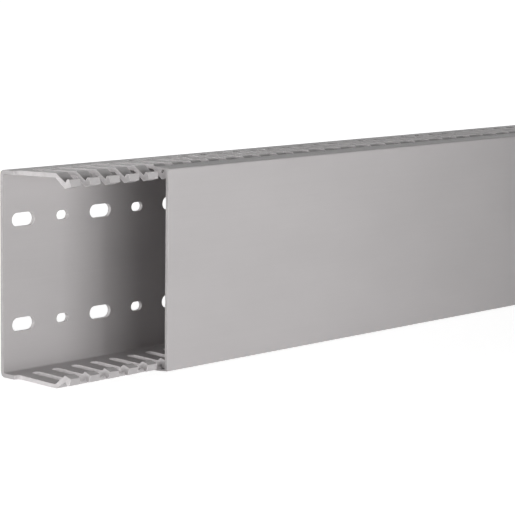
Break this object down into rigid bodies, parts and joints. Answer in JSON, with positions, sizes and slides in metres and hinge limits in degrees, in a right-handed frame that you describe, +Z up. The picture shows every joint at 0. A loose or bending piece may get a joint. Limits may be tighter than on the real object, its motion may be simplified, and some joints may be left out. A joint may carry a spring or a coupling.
{
  "type": "slotted wire duct",
  "caption": "Straight wire duct: a channel with finger walls slit from the front and slotted fixing holes in its back, and a flat cover that hooks over the finger heads and slides along.",
  "frame": {"origin": "on the floor under the middle of the channel and its slid cover together", "axes": "+X along the duct from the end that the cover leaves open, +Y out of the back that is fixed to a wall, +Z up across the duct's width"},
  "size_m": [2.064, 0.047, 0.1],
  "materials": {
    "channel_pvc": "extruded satin grey, brighter and rougher on the cut faces",
    "cover_pvc": "extruded satin grey with fine lines along its length"
  },
  "bodies": {
    "channel": {"duct_base": "channel_pvc"},
    "cover": {"duct_cover": "cover_pvc"}
  },
  "joints": [
    {"name": "cover_slide", "type": "slide", "parent": "channel", "child": "cover", "axis": [1, 0, 0], "range_m": [-0.064, 1.9]}
  ]
}
